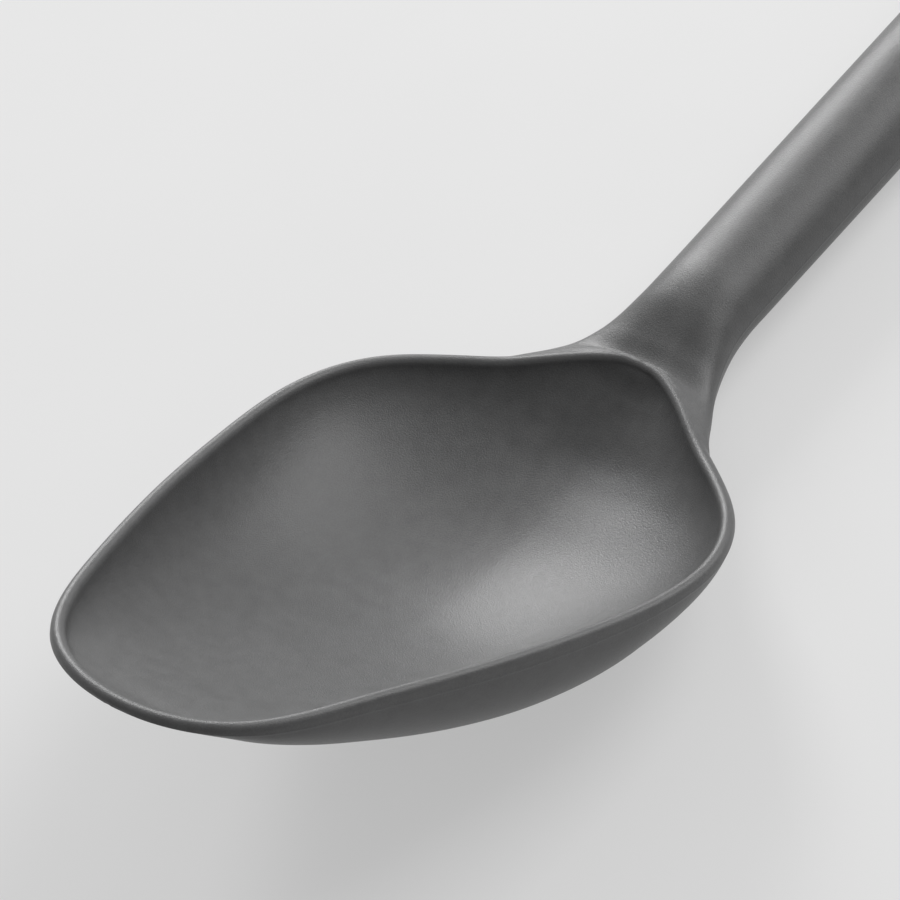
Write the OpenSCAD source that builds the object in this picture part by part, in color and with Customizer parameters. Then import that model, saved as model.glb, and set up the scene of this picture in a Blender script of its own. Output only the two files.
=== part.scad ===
// Cooking spoon: a seamless silicone skin moulded over a stiff bowl core and a steel handle rod.
// +X runs from the tip of the bowl to the tail of the handle, +Z is up, and the spoon lies on z = 0
// on the underside of its bowl and the tail of its handle.

/* [Bowl] */
// Length of the rim crest, from the tip to the back of the bowl
bowl_l = 101; // [85:1:120]
// Width of the rim crest at the bowl's shoulders
bowl_w = 69; // [58:1:80]
// Depth of the bowl's underside below the rim beside it
bowl_d = 18; // [15:0.25:22]
// How far the rim dips between the tip and the back
rim_dip = 2.9; // [1:0.1:3.6]
// Radius of the round bead along the rim
bead_r = 1; // [0.8:0.05:1.3]
// Thickness of the bowl's wall at its deepest place
bowl_wall = 2.6; // [2.5:0.1:6]

/* [Handle] */
// Width of the handle above the neck
handle_w = 15.7; // [13.7:0.5:18.2]
// Thickness of the handle above the neck
handle_h = 11.4; // [10.9:0.5:13.4]
// Length of the handle's straight axis, from the neck to the tail
handle_l = 180; // [140:5:230]
// Angle between the handle and the plane of the rim, in degrees
handle_angle = 19.4; // [15:0.1:24]
// Length of the tail's rounded end
tail_l = 11; // [9:0.5:14]

/* [Hanging hole] */
// Diameter of the hanging hole
hole_d = 8; // [6:0.5:9]
// Distance from the end of the tail to the hole's centre
hole_inset = 14; // [12:0.5:18]

/* [Core] */
// Thickness of the silicone over the core
skin_t = 0.7; // [0.5:0.05:0.8]
// Height of the silicone band between the rim crest and the core's edge
core_drop = 5; // [4:0.5:6]
// Length of the core's stem inside the straight handle
stem_l = 18; // [12:1:26]

/* [Rod] */
// Diameter of the steel rod
rod_d = 6; // [4:0.25:6.5]
// Silicone left between the rod's tail end and the hanging hole
rod_stop = 8; // [6:0.5:14]
// Width of each groove round the rod
groove_w = 2; // [1:0.25:3]
// Depth of each groove round the rod
groove_h = 0.4; // [0.2:0.05:0.6]
// Number of grooves round the rod
groove_count = 6; // [2:1:8]

/* [Hidden] */

skin_color = [0.24, 0.24, 0.24];
core_color = [0.75, 0.73, 0.68];
rod_color = [0.7, 0.71, 0.73];

// Control points of the rim crest from the tip to the back, as shares of bowl_l and of half bowl_w
rim_x_shares = [-0.02, 0.035, 0.2, 0.355, 0.51, 0.7, 0.835, 0.925, 1.045];
rim_y_shares = [0, 0.49, 0.665, 0.83, 0.945, 1.045, 0.86, 0.43, 0];
// Dip of the rim along the bowl, as shares of bowl_l and of rim_dip
dip_x_shares = [0, 0.2, 0.34, 0.46, 0.58, 0.69, 0.82, 0.875, 0.915, 0.96, 1];
dip_z_shares = [0, 0.12, 0.44, 0.72, 0.94, 0.97, 0.85, 0.86, 0.79, 0.38, 0];
// Underside of the bowl, as shares of bowl_l and of bowl_d, and how square its cross-section is
keel_x_shares = [-0.01, 0.01, 0.036, 0.08, 0.155, 0.245, 0.345, 0.455, 0.565, 0.67, 0.765];
keel_z_shares = [0, 0.04, 0.12, 0.29, 0.525, 0.73, 0.875, 0.97, 1.0, 0.95, 0.85];
keel_powers = [2.1, 2.1, 2.15, 2.3, 2.4, 2.4, 2.45, 2.4, 2.15, 1.73, 1.45];
// Inside of the bowl, as shares of bowl_l and of inside_d
inside_x_shares = [
  0.01, 0.036, 0.073, 0.127, 0.218, 0.327, 0.455, 0.565,
  0.673, 0.765, 0.836, 0.89, 0.93, 0.965, 0.985, 0.995];
inside_z_shares = [
  0, 0.12, 0.22, 0.37, 0.61, 0.8, 0.948, 1, 0.942, 0.825, 0.665, 0.52, 0.385, 0.25, 0.14, 0];
// How square the bowl's inside is, at shares of bowl_l
inside_power_x_shares = [0.03, 0.15, 0.3, 0.45, 0.6, 0.75, 0.9];
inside_powers = [2.1, 2.15, 2.15, 2.05, 1.75, 1.65, 1.7];
// Neck stations, as shares of bowl_l, with the neck's half width, depth and height there,
// each the sum of a share of the bowl's size and a share of the handle's size
neck_x_shares = [0.765, 0.82, 0.875, 0.925, 0.98, 1.035, 1.1, 1.14, 1.18];
neck_bowl_w_shares = [0.483, 0.433, 0.339, 0.187, 0.1, 0.035, 0.005, 0, 0];
neck_handle_w_shares = [0, 0, 0, 0.31, 0.44, 0.508, 0.504, 0.501, 0.5];
neck_bowl_d_shares = [0.85, 0.75, 0.605, 0.395, 0.18, 0.05, 0.01, 0, 0];
neck_handle_d_shares = [0, 0, 0.034, 0.148, 0.342, 0.47, 0.5, 0.5, 0.5];
neck_axis_shares = [-0.028, -0.0235, -0.0215, -0.022, -0.022, -0.007, 0.0225, 0.0384, 0.0525];
neck_powers = [1.45, 1.43, 1.45, 1.7, 2, 2.1, 2.1, 2.1, 2.1];
// Height of the neck's top above its axis, as shares of bowl_l and of handle_h
top_x_shares = [0.765, 0.82, 0.875, 0.925, 0.98, 1, 1.035, 1.1, 1.14, 1.18];
top_z_shares = [0.08, 0.114, 0.192, 0.251, 0.269, 0.25, 0.33, 0.465, 0.5, 0.5];
// How square the top of the neck and handle is, and the least for the width of a cross-section,
// which keeps the keel round
top_power = 2.1;
round_power = 2;
// Handle stations, as shares of handle_l, with its width and thickness as shares of the neck end's
grip_x_shares = [0, 0.12, 0.5, 0.86, 1];
grip_w_shares = [1, 1, 1.02, 1.2, 1.24];
grip_h_shares = [1, 1.06, 1.17, 1.05, 0.96];

// How square the handle is, and how its tail rounds off in width and in thickness
grip_power = 2.1;
tail_w_power = 2.2;
tail_h_power = 3;

// Rim rows, neck rows, handle rows and tail rows of the surface
rim_rows = 44;
neck_rows = 8;
grip_rows = 10;
tail_rows = 7;
// Steps down the outer side, over the bead and down the inner side
outer_steps = 14;
bead_steps = 5;
inner_steps = 11;
// Steps of the core's outer and inner side, and its rows in the bowl
core_steps = 9;
core_rows = 20;
round_sides = 48;
// Step along a row for its direction at the bead
v_step = 0.002;

// Depth of the bowl's inside below the rim beside it
inside_d = bowl_d - bowl_wall;
neck_end_share = neck_x_shares[len(neck_x_shares) - 1];
// Share of bowl_l by which the rows lean back under the rim's back
fan_share = 0.03;
// Place along the rim where the rows start to lean
fan_from = 0.8;
// Shares of bowl_l between which the outer side widens from the bead to the neck
widen_from_share = 0.79;
widen_to_share = 0.85;
// Shares of bowl_l between which the cross-sections turn square to the handle
turn_from_share = 0.91;
turn_to_share = 1.13;
// Angle on the bead at which the outer side leaves it behind the shoulders, reached between these
// shares of bowl_l, and the angle that it gains from there to the rim's back
over_angle = 68;
back_rise = 45;
over_from_share = 0.86;
over_to_share = 0.95;
// Width over which the outer side fairs into the bead, as a share of bowl_l
fair_share = 0.05;
hole_r = hole_d / 2;
rod_r = rod_d / 2;
// The core's dish runs between these shares of bowl_l
core_from_share = 0.1;
core_shelf_share = 0.95;
// Share of the inside's depth that the core's edge keeps below the rim where the bowl is shallow
edge_share = 0.6;
// Extra cover on the core at the neck, as a share of skin_t, with the shares of bowl_l between
// which it comes in and goes out at the sides and comes in on the inside
neck_cover_share = 1.4;
cover_from_share = 0.78;
cover_full_share = 0.88;
cover_out_share = 1.02;
cover_end_share = 1.14;
inside_cover_from_share = 0.84;
inside_cover_full_share = 0.95;
// The core's stem begins at this share of bowl_l
core_step_share = 1.045;
// Angle left for the flat edge along the stem's sides
stem_edge = 4;
// The rod starts at this share of bowl_l
socket_share = 1.125;

// Cubic curve through the points (xs, ys)
function seg(xs, x, i = 0) = i >= len(xs) - 2 || x < xs[i + 1] ? i : seg(xs, x, i + 1);
function chord(xs, ys, i) = (ys[i + 1] - ys[i]) / (xs[i + 1] - xs[i]);
function slope(xs, ys, i) =
  i == 0 ? chord(xs, ys, 0)
  : i == len(xs) - 1 ? chord(xs, ys, i - 1)
  : let (a = xs[i] - xs[i - 1], b = xs[i + 1] - xs[i])
    (chord(xs, ys, i - 1) * b + chord(xs, ys, i) * a) / (a + b);
function along(xs, ys, x) =
  let (i = seg(xs, x), h = xs[i + 1] - xs[i], t = min(1, max(0, (x - xs[i]) / h)))
  ys[i] * (1 + 2 * t) * (1 - t) ^ 2 + ys[i + 1] * t ^ 2 * (3 - 2 * t)
  + h * t * (1 - t) * (slope(xs, ys, i) * (1 - t) - slope(xs, ys, i + 1) * t);
function ease(a, b, x) = let (t = min(1, max(0, (x - a) / (b - a)))) t * t * (3 - 2 * t);

// Rim crest: a smooth curve that its control points pull, mirrored at both ends
rim_last = len(rim_x_shares) - 1;
function pull(i) =
  i < 0 ? [rim_x_shares[1], -rim_y_shares[1]]
  : i > rim_last ? [rim_x_shares[rim_last - 1], -rim_y_shares[rim_last - 1]]
  : [rim_x_shares[i], rim_y_shares[i]];
function rim_blend(i, t) =
  ((1 - t) ^ 3 * pull(i - 1) + (3 * t ^ 3 - 6 * t ^ 2 + 4) * pull(i)
  + (-3 * t ^ 3 + 3 * t ^ 2 + 3 * t + 1) * pull(i + 1) + t ^ 3 * pull(i + 2)) / 6;
function rim_at(u) =
  let (k = u * rim_last, i = min(floor(k), rim_last - 1), p = rim_blend(i, k - i))
  [p.x * bowl_l, p.y * bowl_w / 2];
function rim_out(u) =
  let (e = 1 / (rim_rows * len(rim_x_shares)), a = max(0, u - e), b = min(1, u + e))
  u == 0 ? [-1, 0] : u == 1 ? [1, 0]
  : let (d = rim_at(b) - rim_at(a)) [-d.y, d.x] / norm(d);
function rim_z(x) = -rim_dip * along(dip_x_shares, dip_z_shares, x / bowl_l);

// The outer surface's sizes at a station x
function in_neck(x) = x > keel_x_shares[len(keel_x_shares) - 1] * bowl_l;
function neck(list, x) = along(neck_x_shares, list, x / bowl_l);
function low_d(x) =
  in_neck(x) ? neck(neck_bowl_d_shares, x) * bowl_d + neck(neck_handle_d_shares, x) * handle_h
  : along(keel_x_shares, keel_z_shares, x / bowl_l) * bowl_d;
function low_power(x) =
  in_neck(x) ? neck(neck_powers, x) : along(keel_x_shares, keel_powers, x / bowl_l);
function neck_w(x) =
  neck(neck_bowl_w_shares, x) * bowl_w + neck(neck_handle_w_shares, x) * handle_w;
function top_h(x) = along(top_x_shares, top_z_shares, x / bowl_l) * handle_h;
function mid_z(x) =
  let (k = ease(neck_x_shares[0], neck_x_shares[1], x / bowl_l))
  rim_z(x) * (1 - k) + neck(neck_axis_shares, x) * bowl_l * k;
function lean(x) = handle_angle * ease(turn_from_share, turn_to_share, x / bowl_l);

// A point of a cross-section at station x: w its half width, a its angle from the widest place
function raised(s, p) = abs(s) ^ (2 / p);
function across(x, w, low, high, p, a) =
  let (q = a > 0 ? top_power : p, z = (a > 0 ? high : -low) * raised(sin(a), q), t = lean(x))
  [x - z * sin(t), w * raised(cos(a), max(q, round_power)), mid_z(x) + z * cos(t)];
function shell(x, w, a) = across(x, w, low_d(x), top_h(x), low_power(x), a);

// One row of the outer surface in the bowl, at place u along the rim
function foot(u) = rim_at(u) + bead_r * rim_out(u);
function row_w(u) =
  let (f = foot(u), k = ease(widen_from_share, widen_to_share, f.x / bowl_l))
  max(f.y, f.y * (1 - k) + neck_w(f.x) * k);
function row_start(u) = acos(min(1, foot(u).y / row_w(u)) ^ (top_power / 2));
// The outer side leaves the bead at its side in the bowl and over its top at the neck
function bead_end(u) =
  let (x = rim_at(u).x / bowl_l, k = max(0, x - over_to_share) / (rim_at(1).x / bowl_l - over_to_share))
  over_angle * ease(over_from_share, over_to_share, x) + back_rise * k ^ 2;
function bead_point(u, a) =
  let (r = rim_at(u), o = rim_out(u))
  [r.x + bead_r * cos(a) * o.x, r.y + bead_r * cos(a) * o.y, rim_z(r.x) + bead_r * sin(a)];
function keel_x(u, x) =
  x + (u > fan_from ? fan_share * bowl_l * ((u - fan_from) / (1 - fan_from)) ^ 2 : 0);
// The point of that row at v, from 0 at the bead to 1 at the keel, before it is faired
function row_point(u, v) =
  let (x0 = bead_point(u, bead_end(u)).x, x = x0 + (keel_x(u, x0) - x0) * ease(0, 1, v),
    a0 = row_start(u), w = row_w(u) + (u > fan_from ? neck_w(x) - neck_w(foot(u).x) : 0))
  shell(x, w, a0 - v * (a0 + 90));
// Part of the row that is faired into the bead
function fair_part(u) =
  let (x = rim_at(u).x, w = row_w(u), a = row_start(u) / 90)
  min(1, fair_share * bowl_l / (w + low_d(x) + a * (w + top_h(x))));
function lower_row(u) =
  let (e = bead_end(u), o = rim_out(u), off = [o.x * cos(e), o.y * cos(e), sin(e)], d = fair_part(u),
    gap = bead_point(u, e) - row_point(u, 0),
    swing = u == 0 || u == 1 ? 0 : (row_point(u, v_step) - row_point(u, 0)) * off / v_step)
  [for (c = [0 : outer_steps])
    let (v = 1 - c / outer_steps, q = min(1, v / d))
    row_point(u, v) + gap * (1 - ease(0, 1, q)) - off * swing * d * q * (1 - q) ^ 2];

// Gap between the rim's back and the neck's top, closed over the next rows
back_gap = bead_point(1, bead_end(1)) - shell(bowl_l, neck_w(bowl_l), 90);

// One row of the outer surface behind the bowl
function neck_row(i) =
  let (s = i / neck_rows, top = (1 + (neck_end_share - 1) * s) * bowl_l,
    low = (1 + fan_share + (neck_end_share - 1 - fan_share) * s) * bowl_l)
  [for (c = [0 : outer_steps])
    let (v = 1 - c / outer_steps, x = top + (low - top) * ease(0, 1, v))
    shell(x, neck_w(x), 90 - 180 * v) + back_gap * (1 - ease(0, fair_part(1), v)) * (1 - s) ^ 3];
neck_foot = [neck_end_share * bowl_l, 0, neck_axis_shares[len(neck_axis_shares) - 1] * bowl_l];
axis_dir = [cos(handle_angle), 0, sin(handle_angle)];
axis_up = [-sin(handle_angle), 0, cos(handle_angle)];
// Half width and half thickness of the handle, rounded off over the tail
function tail_part(s) = max(0, (s - handle_l + tail_l) / tail_l);
function grip_w(s) =
  handle_w / 2 * along(grip_x_shares, grip_w_shares, s / handle_l) * (1 - tail_part(s) ^ tail_w_power) ^ 0.5;
function grip_h(s) =
  handle_h / 2 * along(grip_x_shares, grip_h_shares, s / handle_l) * (1 - tail_part(s) ^ tail_h_power) ^ 0.5;
function grip_point(s, w, h, a) =
  neck_foot + axis_dir * s + axis_up * h * sign(sin(a)) * raised(sin(a), grip_power)
  + [0, w * raised(cos(a), grip_power), 0];
function grip_row(s) =
  [for (c = [0 : outer_steps]) grip_point(s, grip_w(s), grip_h(s), 90 - 180 * (1 - c / outer_steps))];
grip_stations = concat(
  [for (i = [1 : grip_rows]) (handle_l - tail_l) * i / grip_rows],
  [for (i = [1 : tail_rows - 1]) handle_l - tail_l + tail_l * sin(90 * i / tail_rows)]);

// One row of the bowl's inside, at place u along the rim
function inside_depth(x) = inside_d * along(inside_x_shares, inside_z_shares, x / bowl_l);
function inside_power(x) = along(inside_power_x_shares, inside_powers, x / bowl_l);
function inner_row(u) =
  let (g = bead_point(u, 180))
  [for (c = [0 : inner_steps])
    let (a = 90 * (1 - c / inner_steps), p = inside_power(g.x))
    [g.x, g.y * raised(cos(a), p), g.z - inside_depth(g.x) * raised(sin(a), p)]];

function flip(p) = [p.x, -p.y, p.z];
// A row from its -y end over the keel to its +y end
function both(row) = concat([for (i = [len(row) - 1 : -1 : 1]) flip(row[i])], row);

// Place along the rim of each rim row
function place(i) = i / rim_rows;
out_n = 2 * outer_steps + 1;
in_n = 2 * inner_steps + 1;
back_rows = neck_rows + len(grip_stations);
outer_pts = concat(
  [bead_point(0, 0)],
  [for (i = [1 : rim_rows - 1]) each both(lower_row(place(i)))],
  both(lower_row(1)),
  [for (i = [1 : neck_rows]) each both(neck_row(i))],
  [for (s = grip_stations) each both(grip_row(s))],
  [neck_foot + axis_dir * handle_l]);
// Rows from the rim's back on are closed: their first and last points are one
outer_rows = rim_rows + back_rows + 1;
function outer_id(r, c) =
  r == 0 ? 0 : r == outer_rows ? 1 + (outer_rows - 1) * out_n
  : 1 + (r - 1) * out_n + (r >= rim_rows && c == 2 * outer_steps ? 0 : c);
bead_base = len(outer_pts);
bead_pts = [for (i = [0 : rim_rows]) for (b = [1 : bead_steps - 1])
  let (u = place(i), e = bead_end(u)) bead_point(u, e + (180 - e) * b / bead_steps)];
bead_flip = bead_base + len(bead_pts);
inner_base = bead_flip + len(bead_pts);
inner_pts = [for (i = [0 : rim_rows]) each both(inner_row(place(i)))];
// At the tip and the back the inner rows shrink to one point each
function inner_id(r, c) = inner_base + r * in_n + (r == 0 || r == rim_rows ? 0 : c);
function bead_id(r, b, side) =
  b == 0 ? outer_id(r, side > 0 ? 2 * outer_steps : 0)
  : b == bead_steps ? inner_id(r, side > 0 ? 2 * inner_steps : 0)
  : (side > 0 || r == 0 || r == rim_rows ? bead_base : bead_flip) + r * (bead_steps - 1) + b - 1;
// Two triangles between two edges, without those that the poles pinch to a line
function pair(a, b, c, d) =
  [if (a != b && b != c && c != a) [a, c, b], if (a != c && c != d && d != a) [a, d, c]];
// The same with the other diagonal on the -y side, so that both sides match
function pair_on(mirrored, a, b, c, d) = mirrored ? pair(b, c, d, a) : pair(a, b, c, d);
skin_faces = concat(
  [for (r = [0 : outer_rows - 1]) for (c = [0 : 2 * outer_steps - 1])
    each pair_on(c < outer_steps,
      outer_id(r, c), outer_id(r, c + 1), outer_id(r + 1, c + 1), outer_id(r + 1, c))],
  [for (r = [0 : rim_rows - 1]) for (b = [0 : bead_steps - 1]) each concat(
    pair_on(false,
      bead_id(r, b, 1), bead_id(r, b + 1, 1), bead_id(r + 1, b + 1, 1), bead_id(r + 1, b, 1)),
    pair_on(true,
      bead_id(r, b + 1, -1), bead_id(r, b, -1), bead_id(r + 1, b, -1), bead_id(r + 1, b + 1, -1)))],
  [for (r = [0 : rim_rows - 1]) for (c = [0 : 2 * inner_steps - 1])
    each pair_on(c >= inner_steps,
      inner_id(r, c + 1), inner_id(r, c), inner_id(r + 1, c), inner_id(r + 1, c + 1))]);
skin_pts = concat(outer_pts, bead_pts, [for (p = bead_pts) flip(p)], inner_pts);

// The spoon as it is moulded, with the rim level
module skin_solid() {
  polyhedron(points = skin_pts, faces = skin_faces);
}

// Half width of the outline, and of the bowl's inside, at station x
outline = [for (i = [1 : rim_rows - 1]) let (u = place(i)) [bead_point(u, 0).x, row_w(u)]];
crest = [for (i = [1 : rim_rows - 1]) let (p = bead_point(place(i), 180)) [p.x, p.y]];
function outline_w(x) =
  x > neck_x_shares[1] * bowl_l ? neck_w(x)
  : along([for (p = outline) p.x], [for (p = outline) p.y], x);
function crest_w(x) = along([for (p = crest) p.x], [for (p = crest) p.y], x);

// Silicone beside and above the core, thicker where the outline draws in to the neck
function side_t(x) =
  let (in = ease(cover_from_share, cover_full_share, x / bowl_l),
    out = ease(cover_out_share, cover_end_share, x / bowl_l))
  skin_t * (1 + neck_cover_share * (in - out));
function inside_t(x) =
  let (in = ease(inside_cover_from_share, inside_cover_full_share, x / bowl_l))
  skin_t * (1 + neck_cover_share * in / 2);
// Depth of the core's edge below the rim, at station x
function edge_drop(x) = min(core_drop, edge_share * (inside_depth(x) + inside_t(x)));
function edge_angle(x, h, p) = asin((edge_drop(x) / h) ^ (p / 2));
// Core cross-section in the bowl: its underside up to the edge, then its inside
function dish_low(x) =
  let (h = low_d(x) - skin_t, p = low_power(x), e = edge_angle(x, h, p))
  [for (c = [0 : core_steps])
    across(x, outline_w(x) - side_t(x), h, h, p, -90 + (90 - e) * c / core_steps)];
function dish_top(x) =
  let (h = inside_depth(x) + inside_t(x), p = inside_power(x), e = edge_angle(x, h, p))
  [for (c = [0 : core_steps])
    let (a = 90 - (90 - e) * c / core_steps)
    [x, (crest_w(x) + skin_t) * raised(cos(a), p), rim_z(x) - h * raised(sin(a), p)]];
// Core cross-section in the neck and in the handle
function stem_angle(from, c) = from + (sign(from) * stem_edge - from) * c / core_steps;
function stem_part(x, from) =
  let (w = neck_w(x) - side_t(x), low = low_d(x) - skin_t, high = top_h(x) - inside_t(x))
  [for (c = [0 : core_steps]) across(x, w, low, high, low_power(x), stem_angle(from, c))];
function grip_part(s, from) =
  let (w = grip_w(s) - skin_t, h = grip_h(s) - skin_t)
  [for (c = [0 : core_steps]) grip_point(s, w, h, stem_angle(from, c))];
// A closed row: the underside from edge to edge, then the top side back
function ring(low, top) = concat(both(low), [for (i = [len(low) * 2 - 2 : -1 : 0]) both(top)[i]]);
stem_rows = [for (i = [0 : 4]) core_step_share + (neck_end_share - core_step_share) * i / 4];
core_rings = concat(
  [for (i = [0 : core_rows])
    let (x = bowl_l * (core_from_share + (core_shelf_share - core_from_share) * i / core_rows))
    ring(dish_low(x), dish_top(x))],
  [for (x = stem_rows) ring(stem_part(x * bowl_l, -90), stem_part(x * bowl_l, 90))],
  [ring(grip_part(stem_l, -90), grip_part(stem_l, 90))]);
core_n = 4 * core_steps + 2;
core_last = (len(core_rings) - 1) * core_n;
core_faces = concat(
  [for (r = [0 : len(core_rings) - 2]) for (c = [0 : core_n - 1])
    each pair(r * core_n + c, r * core_n + (c + 1) % core_n,
      (r + 1) * core_n + (c + 1) % core_n, (r + 1) * core_n + c)],
  [for (c = [0 : 2 * core_steps - 1]) each pair(c + 1, c, core_n - 1 - c, core_n - 2 - c)],
  [for (c = [0 : 2 * core_steps - 1])
    each pair(core_last + c, core_last + c + 1, core_last + core_n - 2 - c, core_last + core_n - 1 - c)]);
module core_solid() {
  polyhedron(points = [for (r = core_rings) each r], faces = core_faces);
}

// Handle rod: a round bar with shallow grooves
rod_from = (socket_share - neck_end_share) * bowl_l / cos(handle_angle);
rod_to = handle_l - hole_inset - hole_r - rod_stop;
groove_gap = (rod_to - stem_l) / (groove_count + 1);
module rod_solid() {
  translate(neck_foot) rotate([0, 90 - handle_angle, 0])
    rotate_extrude($fn = round_sides) polygon(concat(
      [[0, rod_from], [rod_r, rod_from]],
      [for (i = [1 : groove_count]) let (z = stem_l + groove_gap * i) each [
        [rod_r, z - groove_w / 2], [rod_r - groove_h, z - groove_w / 2],
        [rod_r - groove_h, z + groove_w / 2], [rod_r, z + groove_w / 2]]],
      [[rod_r, rod_to], [0, rod_to]]));
}

// Hanging hole, square to the handle's top
module hanging_hole() {
  translate(neck_foot + axis_dir * (handle_l - hole_inset))
    rotate([0, -handle_angle, 0])
      cylinder(h = 4 * handle_h, r = hole_r, center = true, $fn = round_sides);
}

// How the spoon lies: the line under the keel that touches the bowl's end and the tail
keel_pts = concat(
  [for (i = [1 : rim_rows]) lower_row(place(i))[0]],
  [for (i = [1 : neck_rows]) neck_row(i)[0]],
  [for (s = grip_stations) grip_row(s)[0]]);
bowl_keel = [for (p = keel_pts) if (p.x < neck_foot.x) p];
tail_keel = [for (p = keel_pts) if (p.x > neck_foot.x + handle_l / 2) p];
rest_tilt = max([for (b = bowl_keel) min([for (t = tail_keel) atan2(t.z - b.z, t.x - b.x)])]);
rest_z = min([for (p = keel_pts) p.z * cos(rest_tilt) - p.x * sin(rest_tilt)]);
rest_x = [for (p = outer_pts) p.x * cos(rest_tilt) + p.z * sin(rest_tilt)];
module at_rest() {
  translate([-(min(rest_x) + max(rest_x)) / 2, 0, -rest_z]) rotate([0, rest_tilt, 0]) children();
}

module silicone_body() {
  color(skin_color) at_rest() difference() {
    skin_solid();
    core_solid();
    rod_solid();
    hanging_hole();
  }
}

module bowl_core() {
  color(core_color) at_rest() difference() {
    core_solid();
    rod_solid();
  }
}

module handle_rod() {
  color(rod_color) at_rest() rod_solid();
}

silicone_body();
bowl_core();
handle_rod();
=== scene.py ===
"""Cooking spoon lying on a pale floor, seen from over the tip of its bowl.

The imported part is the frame. Its silicone skin is shown by a finer skin of the same form, with
the moulding's parting line and a rounded hanging hole. The core and the rod stay inside it.
Sizes are in millimetres, in the spoon's own frame with its rim level, until each mesh is placed.
The floor and the lamps are in metres.
"""
import math

import bmesh
import bpy
import numpy as np
from mathutils import Matrix, Vector


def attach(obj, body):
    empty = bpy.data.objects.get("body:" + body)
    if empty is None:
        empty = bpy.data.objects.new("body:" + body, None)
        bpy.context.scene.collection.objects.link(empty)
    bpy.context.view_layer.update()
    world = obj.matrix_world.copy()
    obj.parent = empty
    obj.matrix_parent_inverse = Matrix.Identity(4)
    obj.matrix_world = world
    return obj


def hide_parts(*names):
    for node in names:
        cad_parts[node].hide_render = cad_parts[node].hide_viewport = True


MM = 0.001

# Bowl
BOWL_L = 101.0
BOWL_W = 69.0
BOWL_D = 18.0
RIM_DIP = 2.9
BEAD_R = 1.0
BOWL_WALL = 2.6
INSIDE_D = BOWL_D - BOWL_WALL

# Handle
HANDLE_W = 15.7
HANDLE_H = 11.4
HANDLE_L = 180.0
HANDLE_ANGLE = math.radians(19.4)
TAIL_L = 11.0
HOLE_R = 4.0
HOLE_INSET = 14.0
HOLE_EDGE_R = 0.9

# Parting line: how far below the bead it runs, its half width and its height
SEAM_DROP = 0.7
SEAM_W = 0.16
SEAM_H = 0.055

# Forms as shares of the sizes above, the same as the part's. First the rim crest and its dip
RIM_X = [-0.02, 0.035, 0.2, 0.355, 0.51, 0.7, 0.835, 0.925, 1.045]
RIM_Y = [0, 0.49, 0.665, 0.83, 0.945, 1.045, 0.86, 0.43, 0]
DIP_X = [0, 0.2, 0.34, 0.46, 0.58, 0.69, 0.82, 0.875, 0.915, 0.96, 1]
DIP_Z = [0, 0.12, 0.44, 0.72, 0.94, 0.97, 0.85, 0.86, 0.79, 0.38, 0]
# Underside of the bowl, and how square its cross-section is
KEEL_X = [-0.01, 0.01, 0.036, 0.08, 0.155, 0.245, 0.345, 0.455, 0.565, 0.67, 0.765]
KEEL_Z = [0, 0.04, 0.12, 0.29, 0.525, 0.73, 0.875, 0.97, 1.0, 0.95, 0.85]
KEEL_POWERS = [2.1, 2.1, 2.15, 2.3, 2.4, 2.4, 2.45, 2.4, 2.15, 1.73, 1.45]
# Inside of the bowl, and how square it is
INSIDE_X = [
    0.01, 0.036, 0.073, 0.127, 0.218, 0.327, 0.455, 0.565,
    0.673, 0.765, 0.836, 0.89, 0.93, 0.965, 0.985, 0.995]
INSIDE_Z = [
    0, 0.12, 0.22, 0.37, 0.61, 0.8, 0.948, 1,
    0.942, 0.825, 0.665, 0.52, 0.385, 0.25, 0.14, 0]
INSIDE_POWER_X = [0.03, 0.15, 0.3, 0.45, 0.6, 0.75, 0.9]
INSIDE_POWERS = [2.1, 2.15, 2.15, 2.05, 1.75, 1.65, 1.7]
# Neck: its half width and depth as shares of the bowl's sizes and of the handle's, its axis and
# how square its underside is
NECK_X = [0.765, 0.82, 0.875, 0.925, 0.98, 1.035, 1.1, 1.14, 1.18]
NECK_BOWL_W = [0.483, 0.433, 0.339, 0.187, 0.1, 0.035, 0.005, 0, 0]
NECK_HANDLE_W = [0, 0, 0, 0.31, 0.44, 0.508, 0.504, 0.501, 0.5]
NECK_BOWL_D = [0.85, 0.75, 0.605, 0.395, 0.18, 0.05, 0.01, 0, 0]
NECK_HANDLE_D = [0, 0, 0.034, 0.148, 0.342, 0.47, 0.5, 0.5, 0.5]
NECK_AXIS = [-0.028, -0.0235, -0.0215, -0.022, -0.022, -0.007, 0.0225, 0.0384, 0.0525]
NECK_POWERS = [1.45, 1.43, 1.45, 1.7, 2, 2.1, 2.1, 2.1, 2.1]
NECK_END = NECK_X[-1]
# Height of the neck's top above its axis
TOP_X = [0.765, 0.82, 0.875, 0.925, 0.98, 1, 1.035, 1.1, 1.14, 1.18]
TOP_Z = [0.08, 0.114, 0.192, 0.251, 0.269, 0.25, 0.33, 0.465, 0.5, 0.5]
# Width and thickness of the handle along it
GRIP_X = [0, 0.12, 0.5, 0.86, 1]
GRIP_W = [1, 1, 1.02, 1.2, 1.24]
GRIP_H = [1, 1.06, 1.17, 1.05, 0.96]
# How square the neck's top is, the least squareness in width, and the handle's
TOP_POWER = 2.1
ROUND_POWER = 2
GRIP_POWER = 2.1
# How the tail rounds off in width and in thickness
TAIL_W_POWER = 2.2
TAIL_H_POWER = 3.0
# Stations between which the rows widen from the bead to the neck, and turn square to the handle
WIDEN = (0.79, 0.85)
TURN = (0.91, 1.13)
# How far the rows lean back under the rim's back, and the place along the rim where they start
FAN_SHARE = 0.03
FAN_FROM = 0.8
# Angle on the bead at which the outer side leaves it behind the shoulders, reached between these
# stations, and what it gains from there to the rim's back
OVER_ANGLE = math.radians(68)
OVER = (0.86, 0.95)
BACK_RISE = math.radians(45)
# Length over which a row is faired into the bead, as a share of the bowl's length
FAIR_SHARE = 0.05

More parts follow.
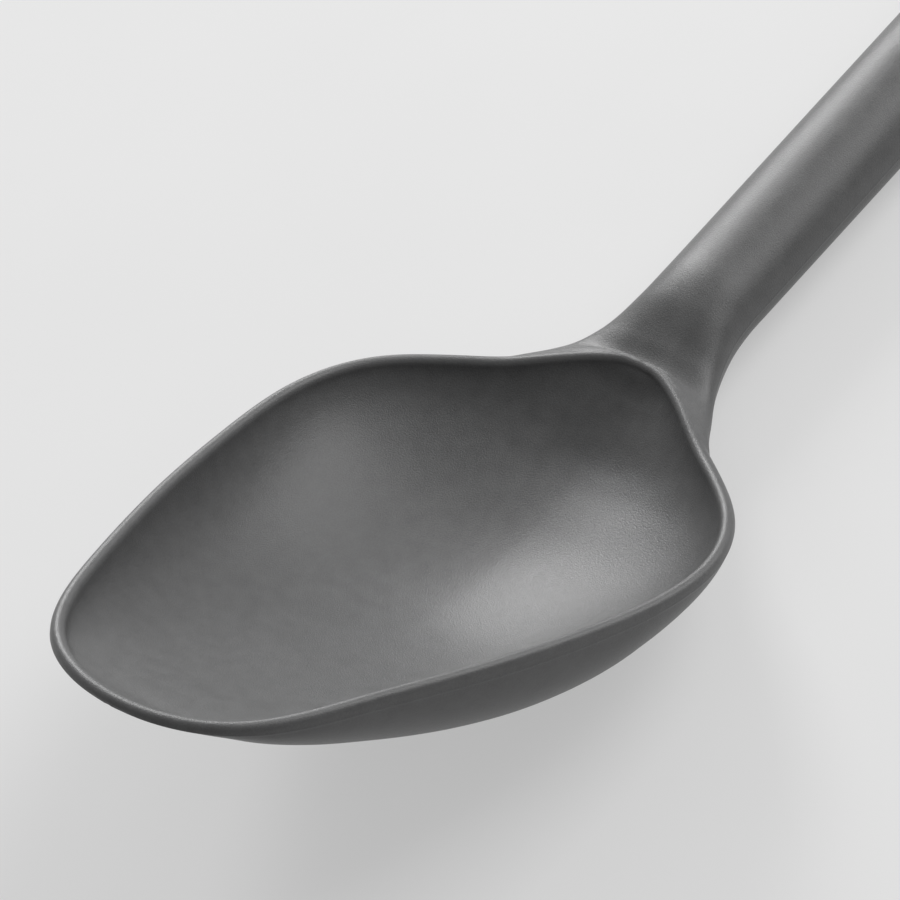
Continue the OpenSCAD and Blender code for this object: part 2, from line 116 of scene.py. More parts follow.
# Steps along the rim and along a row for their directions
U_STEP = 0.0025
V_STEP = 0.002

# Rows and columns of the shown skin
RIM_ROWS = 220
# Place along the rim after which only its back has a row, because more would lie too close
LAST_PLACE = 0.983
NECK_ROWS = 36
GRIP_ROWS = 40
TAIL_ROWS = 22
BEAD_STEPS = 12
INNER_STEPS = 44
LOW_STEPS = 34
HIGH_STEPS = 20
# How much closer together the lower columns lie towards the parting line
LOW_CROWD = 1.25
# Columns beside the parting line, as shares of its half width
SEAM_STEPS = [0.45, 0.9, 1.4, 2.2]
# Furthest place of the parting line along a row of the bowl that is widest at its bead
SEAM_LIMIT = 0.3
# Most that the columns beside the parting line take of the stretch above it
SEAM_ROOM = 0.6
# Steps with which a row is measured
MEASURE_STEPS = 40
# Distance from the parting line given to points that aren't in a row with one
FAR = 99.0
# How close to the middle plane a point counts as lying on it
ON_PLANE = 1e-9

# Camera, in the frame of the level rim: where it stands, and what it looks at
CAM_AZ = math.radians(-48.81)
CAM_EL = math.radians(33.6)
CAM_DIST = 552.0
CAM_TARGET = (55.2, 0.0, 0.0)
IMAGE_PX = 900
FOCAL_PX = 4298.8
# Where CAM_TARGET lies in the image, in pixels right of and above its middle
AIM_PX = (-32.7, -58.8)
SENSOR_MM = 36.0
# Nearest and furthest that the camera sees, in metres
CLIP_NEAR = 0.01
CLIP_FAR = 20

# Hanging hole's tool: its sides, the steps of its rounded edge, how far that edge runs on past the
# handle's surface and at what least angle to it, and the step for the surface's slope
HOLE_SIDES = 96
FLARE_STEPS = 8
FLARE_REACH = 2.5
FLARE_GRAZE = math.radians(8)
SLOPE_STEP = 0.05

# Noises: size of their lumps in millimetres, detail, roughness, and stretch where they have one.
# Grain and cloud of the silicone, flow pattern and grain of the nylon, draw marks of the steel,
# and cloud of the floor
GRAIN = (0.22, 3.0, 0.6)
CLOUD = (2.5, 3.0, 0.5)
FLOW = (6.0, 4.0, 0.55, (0.3, 1, 1))
NYLON_GRAIN = (0.6, 2.0)
MARKS = (0.2, 3.0, 0.6, (0.02, 1, 1))
FLOOR_CLOUD = (40.0, 2.0)
# Part of a noise's values that its colours and roughnesses spread over
NOISE_SPAN = (0.3, 0.7)

# Silicone: linear colours, roughnesses, gloss and sheen, how much grain and cloud each give to the
# colour, and the heights of their reliefs
SILICONE_DARK = (0.08, 0.0805, 0.081)
SILICONE_PALE = (0.122, 0.1225, 0.123)
SILICONE_ROUGH = (0.37, 0.45)
SILICONE_SPECULAR = 0.5
SILICONE_SHEEN = 0.05
SHEEN_ROUGH = 0.4
GRAIN_SHARE = 0.6
CLOUD_SHARE = 0.4
GRAIN_BUMP_MM = 0.05
CLOUD_BUMP_MM = 0.01

# Nylon of the core
NYLON_DARK = (0.5, 0.47, 0.4)
NYLON_PALE = (0.58, 0.55, 0.48)
NYLON_ROUGH = (0.45, 0.6)
NYLON_BUMP_MM = 0.01

# Steel of the rod
STEEL_DARK = (0.42, 0.43, 0.44)
STEEL_PALE = (0.56, 0.57, 0.58)
STEEL_ROUGH = (0.28, 0.42)
MARK_BUMP_MM = 0.004

# Floor, with its half width in metres
FLOOR_DARK = (0.74, 0.74, 0.74)
FLOOR_PALE = (0.76, 0.76, 0.76)
FLOOR_ROUGH = 0.9
FLOOR_HALF = 3.0
# Tone of the background, and how much of it the camera sees in place of the lit floor
BACKGROUND = 0.87
BACKGROUND_SHARE = 0.5

# Sky strength, and the softboxes: name, direction as shares of the camera's right, up and back,
# distance and side in metres, and power in watts
SKY_LIGHT = 0.26
SOFTBOXES = [
    ("key", (-0.26, 0.89, -0.36), 1.2, 0.4, 8.4),
    ("wide", (0.1, 0.95, -0.3), 1.2, 1.8, 4.5),
    ("top", (0.5, 0.8, 0.3), 1.2, 0.7, 7.5),
    ("left", (-0.9, 0.35, -0.2), 1.2, 1.2, 1.2),
]


def curve(xs, ys, x):
    """Cubic curve through the points (xs, ys), flat beyond its ends."""
    xs, ys, x = np.array(xs, float), np.array(ys, float), np.asarray(x, float)
    gaps = np.diff(xs)
    chord = np.diff(ys) / gaps
    slope = np.concatenate([
        chord[:1],
        (chord[:-1] * gaps[1:] + chord[1:] * gaps[:-1]) / (gaps[:-1] + gaps[1:]),
        chord[-1:]])
    i = np.clip(np.searchsorted(xs, x, side="right") - 1, 0, len(xs) - 2)
    h = gaps[i]
    t = np.clip((x - xs[i]) / h, 0, 1)
    bend = h * t * (1 - t) * (slope[i] * (1 - t) - slope[i + 1] * t)
    return ys[i] * (1 + 2 * t) * (1 - t) ** 2 + ys[i + 1] * t ** 2 * (3 - 2 * t) + bend


def ease(a, b, x):
    """0 up to a, 1 from b on, with a smooth change between them."""
    t = np.clip((np.asarray(x, float) - a) / (b - a), 0, 1)
    return t * t * (3 - 2 * t)


def raised(s, p):
    """Sine or cosine s made squarer or rounder, for a cross-section of power p."""
    return np.abs(s) ** (2 / p)


def points(x, y, z):
    """Points from their coordinates, each a number or an array."""
    return np.stack(np.broadcast_arrays(x, y, z), axis=-1).astype(float)


# Rim crest


def rim_at(u):
    """Crest of the rim at place u, from 0 at the tip to 1 at the back."""
    pull = np.array([RIM_X, RIM_Y], float).T
    pull = np.vstack([pull[1] * (1, -1), pull, pull[-2] * (1, -1)])
    last = len(RIM_X) - 1
    k = np.asarray(u, float) * last
    i = np.clip(np.floor(k).astype(int), 0, last - 1)
    t = (k - i)[..., None]
    p = ((1 - t) ** 3 * pull[i] + (3 * t ** 3 - 6 * t ** 2 + 4) * pull[i + 1]
         + (-3 * t ** 3 + 3 * t ** 2 + 3 * t + 1) * pull[i + 2] + t ** 3 * pull[i + 3]) / 6
    return p * (BOWL_L, BOWL_W / 2)


def rim_out(u):
    """Direction, seen from above, in which the rim's bead faces outwards."""
    d = rim_at(np.minimum(1, u + U_STEP)) - rim_at(np.maximum(0, u - U_STEP))
    out = np.stack([-d[..., 1], d[..., 0]], axis=-1)
    out[u <= 0] = (-1, 0)
    out[u >= 1] = (1, 0)
    return out / np.linalg.norm(out, axis=-1, keepdims=True)


def rim_z(x):
    """Height of the rim's crest at station x."""
    return -RIM_DIP * curve(DIP_X, DIP_Z, x / BOWL_L)


def bead_point(u, a):
    """Point of the rim's bead at angle a: 0 points out, a quarter turn up, a half turn in."""
    r, o = rim_at(u), rim_out(u)
    reach = BEAD_R * np.cos(a)
    return points(r[..., 0] + reach * o[..., 0], r[..., 1] + reach * o[..., 1],
                  rim_z(r[..., 0]) + BEAD_R * np.sin(a))


# Outer side


def low_d(x):
    """Depth of the underside below the widest place, at station x."""
    at = x / BOWL_L
    neck = curve(NECK_X, NECK_BOWL_D, at) * BOWL_D + curve(NECK_X, NECK_HANDLE_D, at) * HANDLE_H
    return np.where(x > KEEL_X[-1] * BOWL_L, neck, curve(KEEL_X, KEEL_Z, at) * BOWL_D)


def low_power(x):
    """How square the cross-section is below its widest place, at station x."""
    return np.where(x > KEEL_X[-1] * BOWL_L, curve(NECK_X, NECK_POWERS, x / BOWL_L),
                    curve(KEEL_X, KEEL_POWERS, x / BOWL_L))


def neck_w(x):
    """Half width of the neck at station x."""
    at = x / BOWL_L
    return curve(NECK_X, NECK_BOWL_W, at) * BOWL_W + curve(NECK_X, NECK_HANDLE_W, at) * HANDLE_W


def top_h(x):
    """Height of the neck's top above its axis, at station x."""
    return curve(TOP_X, TOP_Z, x / BOWL_L) * HANDLE_H


def mid_z(x):
    """Height of the cross-section's widest place: the rim's in the bowl, the axis' in the neck."""
    k = ease(NECK_X[0], NECK_X[1], x / BOWL_L)
    return rim_z(x) * (1 - k) + curve(NECK_X, NECK_AXIS, x / BOWL_L) * BOWL_L * k


def shell(x, w, a):
    """Point of the outer side's cross-section at station x, at angle a from its widest place."""
    power = np.where(a > 0, TOP_POWER, low_power(x))
    z = np.where(a > 0, top_h(x), -low_d(x)) * raised(np.sin(a), power)
    lean = HANDLE_ANGLE * ease(TURN[0], TURN[1], x / BOWL_L)
    wide = w * raised(np.cos(a), np.maximum(power, ROUND_POWER))
    return points(x - z * np.sin(lean), wide, mid_z(x) + z * np.cos(lean))


def row_w(u):
    """Foot of the row at place u of the rim, and the row's half width."""
    foot = rim_at(u) + BEAD_R * rim_out(u)
    k = ease(WIDEN[0], WIDEN[1], foot[..., 0] / BOWL_L)
    return foot, np.maximum(foot[..., 1], foot[..., 1] * (1 - k) + neck_w(foot[..., 0]) * k)


def row_start(foot, w):
    """Angle at which a row of half width w meets its foot."""
    return np.arccos(np.clip(foot[..., 1] / w, 0, 1) ** (TOP_POWER / 2))


def bead_end(u):
    """Angle on the bead where the outer side begins: its side in the bowl, its top at the neck."""
    x = rim_at(u)[..., 0] / BOWL_L
    back = rim_at(np.array([1.0]))[0, 0] / BOWL_L
    late = np.maximum(0, x - OVER[1]) / (back - OVER[1])
    return OVER_ANGLE * ease(OVER[0], OVER[1], x) + BACK_RISE * late ** 2


def spread(count, power):
    """Places from 1 down to 0 without the 0, closer together towards 0."""
    return (1 - np.arange(count) / count) ** power


def columns(seam, length):
    """Places along a row, from 1 at the keel over the parting line to 0 at the top."""
    fine = np.array(SEAM_STEPS) * SEAM_W / length
    room = seam * SEAM_ROOM
    low_gap, high_gap = fine[-1], min(fine[-1], room)
    high = np.minimum(fine, room * np.array(SEAM_STEPS) / SEAM_STEPS[-1])
    below = seam + low_gap + (1 - seam - low_gap) * spread(LOW_STEPS, LOW_CROWD)
    above = (seam - high_gap) * spread(HIGH_STEPS, 1.0)
    return np.concatenate([
        below, seam + fine[::-1], [seam], seam - high, above[1:], [0.0]])


def fair_part(u, w, a0):
    """Part of a row that is faired into the bead."""
    x = rim_at(u)[..., 0]
    length = (w + low_d(x) + a0 / (math.pi / 2) * (w + top_h(x)))[0]
    return float(min(1, FAIR_SHARE * BOWL_L / length))


def lower_row(u):
    """Half a row of the outer side under the bowl, from the keel to the bead."""
    ends = u in (0, 1)
    u = np.array([float(u)])
    foot, w = row_w(u)
    a0 = row_start(foot, w)
    e = bead_end(u)
    f = bead_point(u, e)
    x0 = f[..., 0]
    lean = FAN_SHARE * BOWL_L * ((u - FAN_FROM) / (1 - FAN_FROM)) ** 2
    kx = x0 + np.where(u > FAN_FROM, lean, 0)
    o = rim_out(u)[0]
    off = np.array([o[0] * math.cos(e[0]), o[1] * math.cos(e[0]), math.sin(e[0])])

    def plain(v):
        x = x0 + (kx - x0) * ease(0, 1, v)
        wide = np.where(u > FAN_FROM, w + neck_w(x) - neck_w(foot[..., 0]), w)
        return shell(x, wide, a0 - v * (a0 + math.pi / 2))

    start = plain(np.array([0.0, V_STEP]))
    gap = f[0] - start[0]
    swing = 0 if ends else (start[1] - start[0]) @ off / V_STEP
    part = fair_part(u, w, a0)

    def at(v):
        q = np.minimum(1, v / part)[:, None]
        return plain(v) + gap * (1 - ease(0, 1, q)) - off * swing * part * q * (1 - q) ** 2

    rough = at(np.linspace(1, 0, MEASURE_STEPS))
    length = np.linalg.norm(np.diff(rough, axis=0), axis=1).sum()
    widest = float(a0[0] / (a0[0] + math.pi / 2))
    return at(columns(max(widest, min(SEAM_LIMIT, SEAM_DROP / length)), length))


def neck_row(s):
    """Half a closed row of the neck, s from 0 at the rim's back to 1 at the handle."""
    top = (1 + (NECK_END - 1) * s) * BOWL_L
    low = (1 + FAN_SHARE + (NECK_END - 1 - FAN_SHARE) * s) * BOWL_L
    back = np.array([1.0])
    crown = shell(np.array([BOWL_L]), neck_w(BOWL_L), np.array([math.pi / 2]))
    gap = bead_point(back, bead_end(back)) - crown
    v = columns(0.5, math.pi * HANDLE_H / 2)
    x = top + (low - top) * ease(0, 1, v)
    part = fair_part(back, neck_w(np.array([BOWL_L])), math.pi / 2)
    fade = (1 - ease(0, part, v)) * (1 - s) ** 3
    return shell(x, neck_w(x), math.pi / 2 - math.pi * v) + gap * fade[:, None]


NECK_FOOT = np.array([NECK_END * BOWL_L, 0, NECK_AXIS[-1] * BOWL_L])
AXIS_DIR = np.array([math.cos(HANDLE_ANGLE), 0, math.sin(HANDLE_ANGLE)])
AXIS_UP = np.array([-math.sin(HANDLE_ANGLE), 0, math.cos(HANDLE_ANGLE)])


def grip_w(s):
    """Half width of the handle at distance s from the neck."""
    tail = np.clip((s - HANDLE_L + TAIL_L) / TAIL_L, 0, 1)
    return HANDLE_W / 2 * curve(GRIP_X, GRIP_W, s / HANDLE_L) * np.sqrt(1 - tail ** TAIL_W_POWER)


def grip_h(s):
    """Half thickness of the handle at distance s from the neck."""
    tail = np.clip((s - HANDLE_L + TAIL_L) / TAIL_L, 0, 1)
    return HANDLE_H / 2 * curve(GRIP_X, GRIP_H, s / HANDLE_L) * np.sqrt(1 - tail ** TAIL_H_POWER)


def grip_row(s):
    """Half a closed row of the handle at distance s from the neck."""
    a = math.pi / 2 - math.pi * columns(0.5, math.pi * HANDLE_H / 2)
    rise = grip_h(s) * np.sign(np.sin(a)) * raised(np.sin(a), GRIP_POWER)
    side = grip_w(s) * raised(np.cos(a), GRIP_POWER)
    return NECK_FOOT + AXIS_DIR * s + AXIS_UP * rise[:, None] + points(0, side, 0)


def inner_row(u):
    """Half a row of the bowl's inside, from its lowest line to the bead."""
    g = bead_point(np.array([u]), np.array([math.pi]))[0]
    a = math.pi / 2 * (1 - np.arange(INNER_STEPS + 1) / INNER_STEPS)
    depth = INSIDE_D * curve(INSIDE_X, INSIDE_Z, g[0] / BOWL_L)
    power = float(curve(INSIDE_POWER_X, INSIDE_POWERS, g[0] / BOWL_L))
    return points(g[0], g[1] * raised(np.cos(a), power), g[2] - depth * raised(np.sin(a), power))


def bead_row(u):
    """The bead at place u, from the outer side's edge to the inside's, both left out."""
    e = bead_end(np.array([u]))[0] if u > 0 else 0.0
    a = e + (math.pi - e) * np.arange(1, BEAD_STEPS) / BEAD_STEPS
    return bead_point(np.full(len(a), u), a)


class Skin:
    """Gathers points and faces; a point at y = 0 serves both sides."""

    def __init__(self):
        self.pts = []
        self.faces = []

    def add(self, p):
        self.pts.append(p)
        return len(self.pts) - 1

    def row(self, half):
        """Adds half a row and its mirror image, and gives both lists of numbers."""
        right = [self.add(p) for p in half]
        left = [i if abs(self.pts[i][1]) < ON_PLANE else self.add(self.pts[i] * (1, -1, 1))
                for i in right]
        return right, left

    def join(self, a, b):
        """Faces between two rows, given as (right, left) pairs."""
        for side, turned in ((0, False), (1, True)):
            for k in range(len(a[side]) - 1):
                quad = [a[side][k], a[side][k + 1], b[side][k + 1], b[side][k]]
                quad = [q for n, q in enumerate(quad) if q not in quad[:n]]
                if len(quad) > 2:
                    self.faces.append(quad[::-1] if turned else quad)


def build_skin():
    """Points, faces, each point's distance from the parting line, and the outer rows."""
    skin = Skin()
    seam_at = LOW_STEPS + len(SEAM_STEPS)
    tip = skin.add(bead_point(np.array([0.0]), np.array([0.0]))[0])
    places = np.arange(RIM_ROWS + 1) / RIM_ROWS
    places = np.append(places[places < LAST_PLACE], 1.0)
    rows = [skin.row(lower_row(u)) for u in places[1:]]
    count = len(rows[0][0])
    outer = [([tip] * count, [tip] * count)] + rows
    outer += [skin.row(neck_row(i / NECK_ROWS)) for i in range(1, NECK_ROWS + 1)]
    straight = HANDLE_L - TAIL_L
    outer += [skin.row(grip_row(straight * i / GRIP_ROWS)) for i in range(1, GRIP_ROWS + 1)]
    outer += [skin.row(grip_row(straight + TAIL_L * math.sin(math.pi / 2 * i / TAIL_ROWS)))
              for i in range(1, TAIL_ROWS)]
    end = skin.add(NECK_FOOT + AXIS_DIR * HANDLE_L)
    outer.append(([end] * count, [end] * count))
    inner = [skin.row(inner_row(u)) for u in places]
    for k in (0, -1):
        side = [inner[k][0][-1]] * (INNER_STEPS + 1)
        inner[k] = (side, side)
    bead = []
    for n, u in enumerate(places):
        right, left = skin.row(bead_row(u))
        bead.append(([outer[n][0][-1]] + right + [inner[n][0][-1]],
                     [outer[n][1][-1]] + left + [inner[n][1][-1]]))
    for rows, turned in ((outer, False), (bead, False), (inner, True)):
        for a, b in zip(rows[:-1], rows[1:]):
            skin.join(b if turned else a, a if turned else b)
    pts = np.array(skin.pts)
    seam_gap = np.full(len(pts), FAR)
    for r in outer[1:-1]:
        for side in r:
            seam_gap[side] = np.linalg.norm(pts[side] - pts[side[seam_at]], axis=1)
    return pts, skin.faces, seam_gap, outer


def rest_pose(pts, outer):
    """Tilt and shift that lay the spoon on its bowl's end and its tail."""
    keel = np.array([pts[r[0][0]] for r in outer[1:]])
    bowl = keel[keel[:, 0] < NECK_FOOT[0]]
    tail = keel[keel[:, 0] > NECK_FOOT[0] + HANDLE_L / 2]
    rise = np.arctan2(tail[None, :, 2] - bowl[:, None, 2], tail[None, :, 0] - bowl[:, None, 0])
    tilt = rise.min(axis=1).max()
    turn = Matrix.Rotation(tilt, 4, "Y")
    turned = pts @ np.array(turn.to_3x3()).T
    x = (turned[:, 0].min() + turned[:, 0].max()) / 2
    return Matrix.Translation(Vector((-x, 0, -turned[:, 2].min()))) @ turn


def hole_cutter():
    """Tool for the hanging hole: a round bore whose ends flare into the handle's surface."""
    centre = HANDLE_L - HOLE_INSET
    turns = 2 * math.pi * np.arange(HOLE_SIDES) / HOLE_SIDES
    cs, sn = np.cos(turns), np.sin(turns)

    def height(r):
        wide = np.clip(np.abs(r * sn) / grip_w(centre + r * cs), 0, 1)
        return grip_h(centre + r * cs) * (1 - wide ** GRIP_POWER) ** (1 / GRIP_POWER)

    edge = HOLE_R + HOLE_EDGE_R
    drop = height(edge + SLOPE_STEP) - height(edge - SLOPE_STEP)
    fall = np.arctan(drop / (2 * SLOPE_STEP))
    mid = height(edge) - HOLE_EDGE_R / np.cos(fall)
    last = math.pi / 2 - fall - FLARE_GRAZE
    rings = []
    for k in range(FLARE_STEPS + 1):
        a = last * k / FLARE_STEPS
        rings.append((edge - HOLE_EDGE_R * np.cos(a), mid + HOLE_EDGE_R * np.sin(a)))
    r, z = rings[-1]
    rings.append((r + FLARE_REACH * np.sin(last), z + FLARE_REACH * np.cos(last)))
    profile = [(r, -z) for r, z in rings[::-1]] + rings
    pts = []
    for r, z in profile:
        for k in range(HOLE_SIDES):
            along, side = centre + r[k] * cs[k], np.array([0, r[k] * sn[k], 0])
            pts.append(NECK_FOOT + AXIS_DIR * along + AXIS_UP * z[k] + side)
    faces = []
    for n in range(len(profile) - 1):
        for k in range(HOLE_SIDES):
            a, b = n * HOLE_SIDES + k, n * HOLE_SIDES + (k + 1) % HOLE_SIDES
            faces.append([a, b, b + HOLE_SIDES, a + HOLE_SIDES])
    top = HANDLE_H
    for ring, z, turned in ((0, -top, True), (len(profile) - 1, top, False)):
        pts.append(NECK_FOOT + AXIS_DIR * centre + AXIS_UP * z)
        for k in range(HOLE_SIDES):
            tri = [ring * HOLE_SIDES + k, ring * HOLE_SIDES + (k + 1) % HOLE_SIDES, len(pts) - 1]
            faces.append(tri[::-1] if turned else tri)
    return pts, faces


def mesh_object(name, pts, faces, place):
    """Object from points in millimetres, put into the part's frame in metres."""
    mesh = bpy.data.meshes.new(name)
    mesh.from_pydata([tuple(p) for p in pts], [], faces)
    mesh.transform(Matrix.Scale(MM, 4) @ place)
    mesh.update()
    made = bpy.data.objects.new(name, mesh)
    bpy.context.scene.collection.objects.link(made)
    return made


def raise_seam(made, seam_gap):
    """Lifts the skin by the parting line's low ridge."""
    mesh = made.data
    co = np.empty(len(mesh.vertices) * 3)
    mesh.vertices.foreach_get("co", co)
    normal = np.empty(len(mesh.vertices) * 3)
    mesh.vertex_normals.foreach_get("vector", normal)
    lift = SEAM_H * MM * np.exp(-(seam_gap / SEAM_W) ** 2)
    raised_co = co.reshape(-1, 3) + normal.reshape(-1, 3) * lift[:, None]
    mesh.vertices.foreach_set("co", raised_co.ravel())
    mesh.update()


def cut(made, cutter):
    """Takes the cutter out of a mesh for good, and deletes the cutter."""
    tool = made.modifiers.new("cut", "BOOLEAN")
    tool.operation = "DIFFERENCE"
    tool.solver = "EXACT"
    tool.object = cutter
    bpy.context.view_layer.update()
    seen = made.evaluated_get(bpy.context.evaluated_depsgraph_get())
    done = bpy.data.meshes.new_from_object(seen)
    made.modifiers.clear()
    made.data = done
    done.name = made.name
    bpy.data.objects.remove(cutter)


# Materials


class Nodes:
    """A new material and short calls to build its node tree."""

    def __init__(self, name):
        self.mat = bpy.data.materials.new(name)
        self.mat.use_nodes = True
        self.tree = self.mat.node_tree
        self.tree.nodes.clear()
        self.out = self.tree.nodes.new("ShaderNodeOutputMaterial")
        self.shader = self.tree.nodes.new("ShaderNodeBsdfPrincipled")
        self.link(self.shader.outputs["BSDF"], self.out.inputs["Surface"])
        self.place = self.tree.nodes.new("ShaderNodeTexCoord").outputs["Object"]

    def link(self, a, b):
        self.tree.links.new(a, b)

    def noise(self, size_mm, detail, roughness=0.5, stretch=(1, 1, 1)):
        """Noise whose lumps are about size_mm across."""
        scale = self.tree.nodes.new("ShaderNodeMapping")
        scale.inputs["Scale"].default_value = [s / (size_mm * MM) for s in stretch]
        self.link(self.place, scale.inputs["Vector"])
        made = self.tree.nodes.new("ShaderNodeTexNoise")
        made.inputs["Scale"].default_value = 1.0
        made.inputs["Detail"].default_value = detail
        made.inputs["Roughness"].default_value = roughness
        self.link(scale.outputs["Vector"], made.inputs["Vector"])
        return made.outputs["Fac"]

    def span(self, value, low, high):
        """A number that goes from low to high over the noise's span."""
        made = self.tree.nodes.new("ShaderNodeMapRange")
        made.inputs["From Min"].default_value, made.inputs["From Max"].default_value = NOISE_SPAN
        made.inputs["To Min"].default_value, made.inputs["To Max"].default_value = low, high
        self.link(value, made.inputs["Value"])
        return made.outputs["Result"]

    def ramp(self, value, *colours):
        """A colour that goes from the first to the second over the noise's span."""
        made = self.tree.nodes.new("ShaderNodeValToRGB")
        for mark, at, colour in zip(made.color_ramp.elements, NOISE_SPAN, colours):
            mark.position = at
            mark.color = (*colour, 1)
        self.link(value, made.inputs["Fac"])
        return made.outputs["Color"]

    def math(self, kind, a, b):
        """Sum or product of two values, each a number or a socket."""
        made = self.tree.nodes.new("ShaderNodeMath")
        made.operation = kind
        for n, v in enumerate((a, b)):
            if isinstance(v, (int, float)):
                made.inputs[n].default_value = v
            else:
                self.link(v, made.inputs[n])
        return made.outputs[0]

    def bump(self, height, distance_mm, under=None):
        """Normals of a relief, laid over the normals under it."""
        made = self.tree.nodes.new("ShaderNodeBump")
        made.inputs["Distance"].default_value = distance_mm * MM
        made.inputs["Strength"].default_value = 1.0
        self.link(height, made.inputs["Height"])
        if under:
            self.link(under, made.inputs["Normal"])
        return made.outputs["Normal"]


def silicone():
    """Dark grey silicone with a fine frosted grain over a faint cloud."""
    n = Nodes("silicone")
    grain = n.noise(*GRAIN)
    cloud = n.noise(*CLOUD)
    fine = n.math("MULTIPLY", grain, GRAIN_SHARE)
    mixed = n.math("ADD", fine, n.math("MULTIPLY", cloud, CLOUD_SHARE))
    n.link(n.ramp(mixed, SILICONE_DARK, SILICONE_PALE), n.shader.inputs["Base Color"])
    n.link(n.span(mixed, *SILICONE_ROUGH), n.shader.inputs["Roughness"])
    n.shader.inputs["Specular IOR Level"].default_value = SILICONE_SPECULAR
    n.shader.inputs["Sheen Weight"].default_value = SILICONE_SHEEN
    n.shader.inputs["Sheen Roughness"].default_value = SHEEN_ROUGH
    soft = n.bump(cloud, CLOUD_BUMP_MM)
    n.link(n.bump(grain, GRAIN_BUMP_MM, soft), n.shader.inputs["Normal"])
    return n.mat


def nylon():
    """Moulded nylon of the hidden core, with a faint flow pattern."""
    n = Nodes("nylon")
    flow = n.noise(*FLOW)
    n.link(n.ramp(flow, NYLON_DARK, NYLON_PALE), n.shader.inputs["Base Color"])
    n.link(n.span(flow, *NYLON_ROUGH), n.shader.inputs["Roughness"])
    n.link(n.bump(n.noise(*NYLON_GRAIN), NYLON_BUMP_MM), n.shader.inputs["Normal"])
    return n.mat


def drawn_steel():
    """Steel bar of the hidden rod, with fine draw marks along it."""
    n = Nodes("drawn_steel")
    marks = n.noise(*MARKS)
    n.link(n.ramp(marks, STEEL_DARK, STEEL_PALE), n.shader.inputs["Base Color"])
    n.shader.inputs["Metallic"].default_value = 1.0
    n.link(n.span(marks, *STEEL_ROUGH), n.shader.inputs["Roughness"])
    n.link(n.bump(marks, MARK_BUMP_MM), n.shader.inputs["Normal"])
    return n.mat


def finish_with(made, material):
    made.data.materials.clear()
    made.data.materials.append(material)


# Scene


def seen_rays(tree):
    """1 for the camera's rays and for mirrored and refracted ones, 0 for all others."""
    path = tree.nodes.new("ShaderNodeLightPath")
    most = path.outputs["Is Camera Ray"]
    for name in ("Is Glossy Ray", "Is Transmission Ray"):
        larger = tree.nodes.new("ShaderNodeMath")
        larger.operation = "MAXIMUM"
        tree.links.new(most, larger.inputs[0])
        tree.links.new(path.outputs[name], larger.inputs[1])
        most = larger.outputs[0]
    return most


def pale_floor():
    """Floor that takes the lamps' light and the shadow, with some of the background's own tone."""
    bm = bmesh.new()
    bmesh.ops.create_grid(bm, x_segments=1, y_segments=1, size=FLOOR_HALF)
    mesh = bpy.data.meshes.new("floor")
    bm.to_mesh(mesh)
    bm.free()
    made = bpy.data.objects.new("floor", mesh)
    bpy.context.scene.collection.objects.link(made)
    n = Nodes("pale_floor")
    tone = n.noise(*FLOOR_CLOUD)
    n.link(n.ramp(tone, FLOOR_DARK, FLOOR_PALE), n.shader.inputs["Base Color"])
    n.shader.inputs["Roughness"].default_value = FLOOR_ROUGH
    n.shader.inputs["Specular IOR Level"].default_value = 0.0
    glow = n.tree.nodes.new("ShaderNodeEmission")
    glow.inputs["Color"].default_value = (BACKGROUND, BACKGROUND, BACKGROUND, 1)
    mix = n.tree.nodes.new("ShaderNodeMixShader")
    n.link(n.math("MULTIPLY", seen_rays(n.tree), BACKGROUND_SHARE), mix.inputs["Fac"])
    n.link(n.shader.outputs["BSDF"], mix.inputs[1])
    n.link(glow.outputs["Emission"], mix.inputs[2])
    n.link(mix.outputs["Shader"], n.out.inputs["Surface"])
    finish_with(made, n.mat)


def pale_world():
    """Even sky light, which the camera sees as the background's tone."""
    world = bpy.data.worlds.new("studio")
    world.use_nodes = True
    tree = world.node_tree
    tree.nodes.clear()
    out = tree.nodes.new("ShaderNodeOutputWorld")
    sky = tree.nodes.new("ShaderNodeBackground")
    sky.inputs["Color"].default_value = (1, 1, 1, 1)
    sky.inputs["Strength"].default_value = SKY_LIGHT
    seen = tree.nodes.new("ShaderNodeBackground")
    seen.inputs["Color"].default_value = (BACKGROUND, BACKGROUND, BACKGROUND, 1)
    seen.inputs["Strength"].default_value = 1.0
    path = tree.nodes.new("ShaderNodeLightPath")
    mix = tree.nodes.new("ShaderNodeMixShader")
    tree.links.new(path.outputs["Is Camera Ray"], mix.inputs["Fac"])
    tree.links.new(sky.outputs[0], mix.inputs[1])
    tree.links.new(seen.outputs[0], mix.inputs[2])
    tree.links.new(mix.outputs[0], out.inputs["Surface"])
    bpy.context.scene.world = world


def softbox(name, toward, distance, side, watts, aim):
    """Square area lamp at a distance from aim, standing in the direction toward."""
    light = bpy.data.lights.new(name, "AREA")
    light.shape = "SQUARE"
    light.size = side
    light.energy = watts
    made = bpy.data.objects.new(name, light)
    bpy.context.scene.collection.objects.link(made)
    toward = Vector(toward).normalized()
    made.location = aim + toward * distance
    made.rotation_euler = toward.to_track_quat("Z", "Y").to_euler()


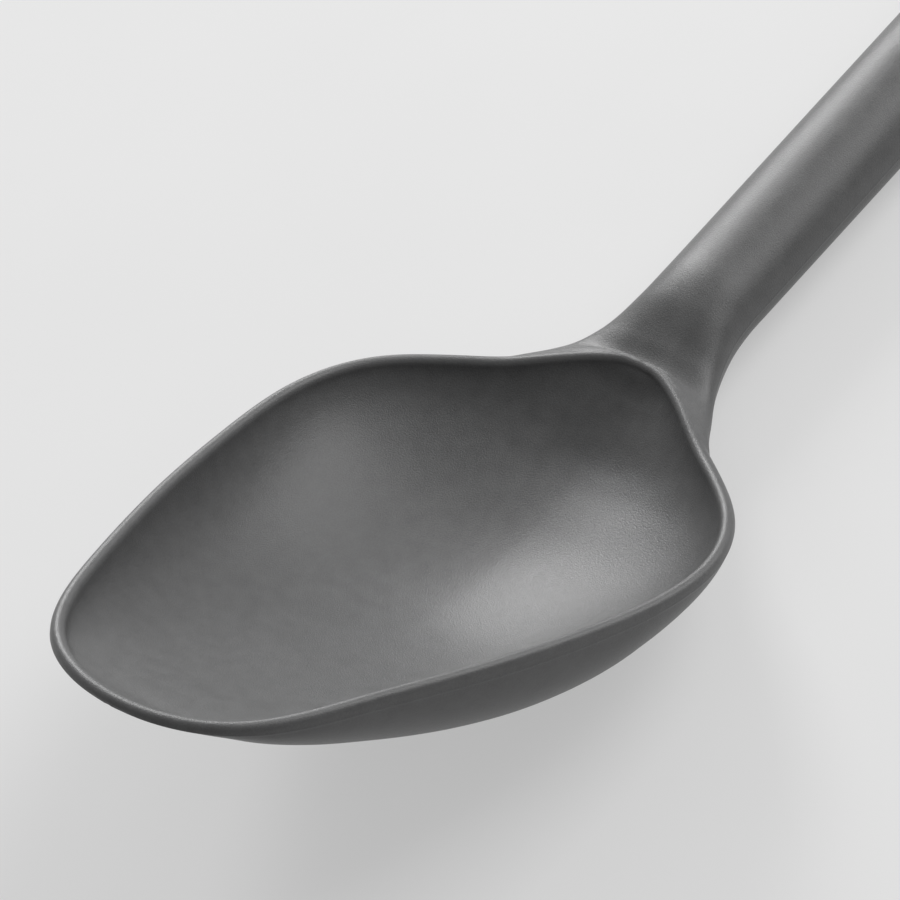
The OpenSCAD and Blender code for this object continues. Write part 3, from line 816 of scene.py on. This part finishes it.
def camera(place):
    """The photograph's camera, which was worked out in the frame of the level rim."""
    level = math.cos(CAM_EL)
    back = Vector((math.sin(CAM_AZ) * level, -math.cos(CAM_AZ) * level, math.sin(CAM_EL)))
    right = Vector((0, 0, 1)).cross(back).normalized()
    up = back.cross(right)
    where = Vector(CAM_TARGET) + back * CAM_DIST
    ahead = (-back * FOCAL_PX - right * AIM_PX[0] - up * AIM_PX[1]).normalized()
    right = ahead.cross(up).normalized()
    up = right.cross(ahead)
    turn = place.to_3x3()
    axes = Matrix((turn @ right, turn @ up, turn @ -ahead)).transposed().to_4x4()
    data = bpy.data.cameras.new("camera")
    data.sensor_width = SENSOR_MM
    data.lens = FOCAL_PX / IMAGE_PX * SENSOR_MM
    data.clip_start = CLIP_NEAR
    data.clip_end = CLIP_FAR
    made = bpy.data.objects.new("camera", data)
    bpy.context.scene.collection.objects.link(made)
    made.matrix_world = Matrix.Translation((place @ where) * MM) @ axes
    bpy.context.scene.camera = made
    return made


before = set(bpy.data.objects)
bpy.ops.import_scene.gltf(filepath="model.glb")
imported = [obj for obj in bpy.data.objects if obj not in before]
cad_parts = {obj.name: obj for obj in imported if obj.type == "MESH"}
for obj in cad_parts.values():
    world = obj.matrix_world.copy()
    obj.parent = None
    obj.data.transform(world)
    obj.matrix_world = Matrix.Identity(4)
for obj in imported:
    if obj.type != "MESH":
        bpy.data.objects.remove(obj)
bpy.context.view_layer.update()
scene = bpy.context.scene
scene.view_settings.view_transform = "Standard"

pts, faces, seam_gap, outer = build_skin()
place = rest_pose(pts, outer)
skin = mesh_object("spoon_skin", pts, faces, place)
raise_seam(skin, seam_gap)
cut(skin, mesh_object("hole_cutter", *hole_cutter(), place))
skin.data.shade_smooth()
finish_with(skin, silicone())
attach(skin, "root")
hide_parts("silicone_body")
finish_with(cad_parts["bowl_core"], nylon())
finish_with(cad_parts["handle_rod"], drawn_steel())

pale_floor()
pale_world()
cam = camera(place)
right, up, back = (cam.matrix_world.to_3x3().col[k] for k in range(3))
bowl_centre = (place @ Vector(CAM_TARGET)) * MM
for name, shares, distance, side, watts in SOFTBOXES:
    toward = right * shares[0] + up * shares[1] + back * shares[2]
    softbox(name, toward, distance, side, watts, bowl_centre)

bpy.context.view_layer.update()
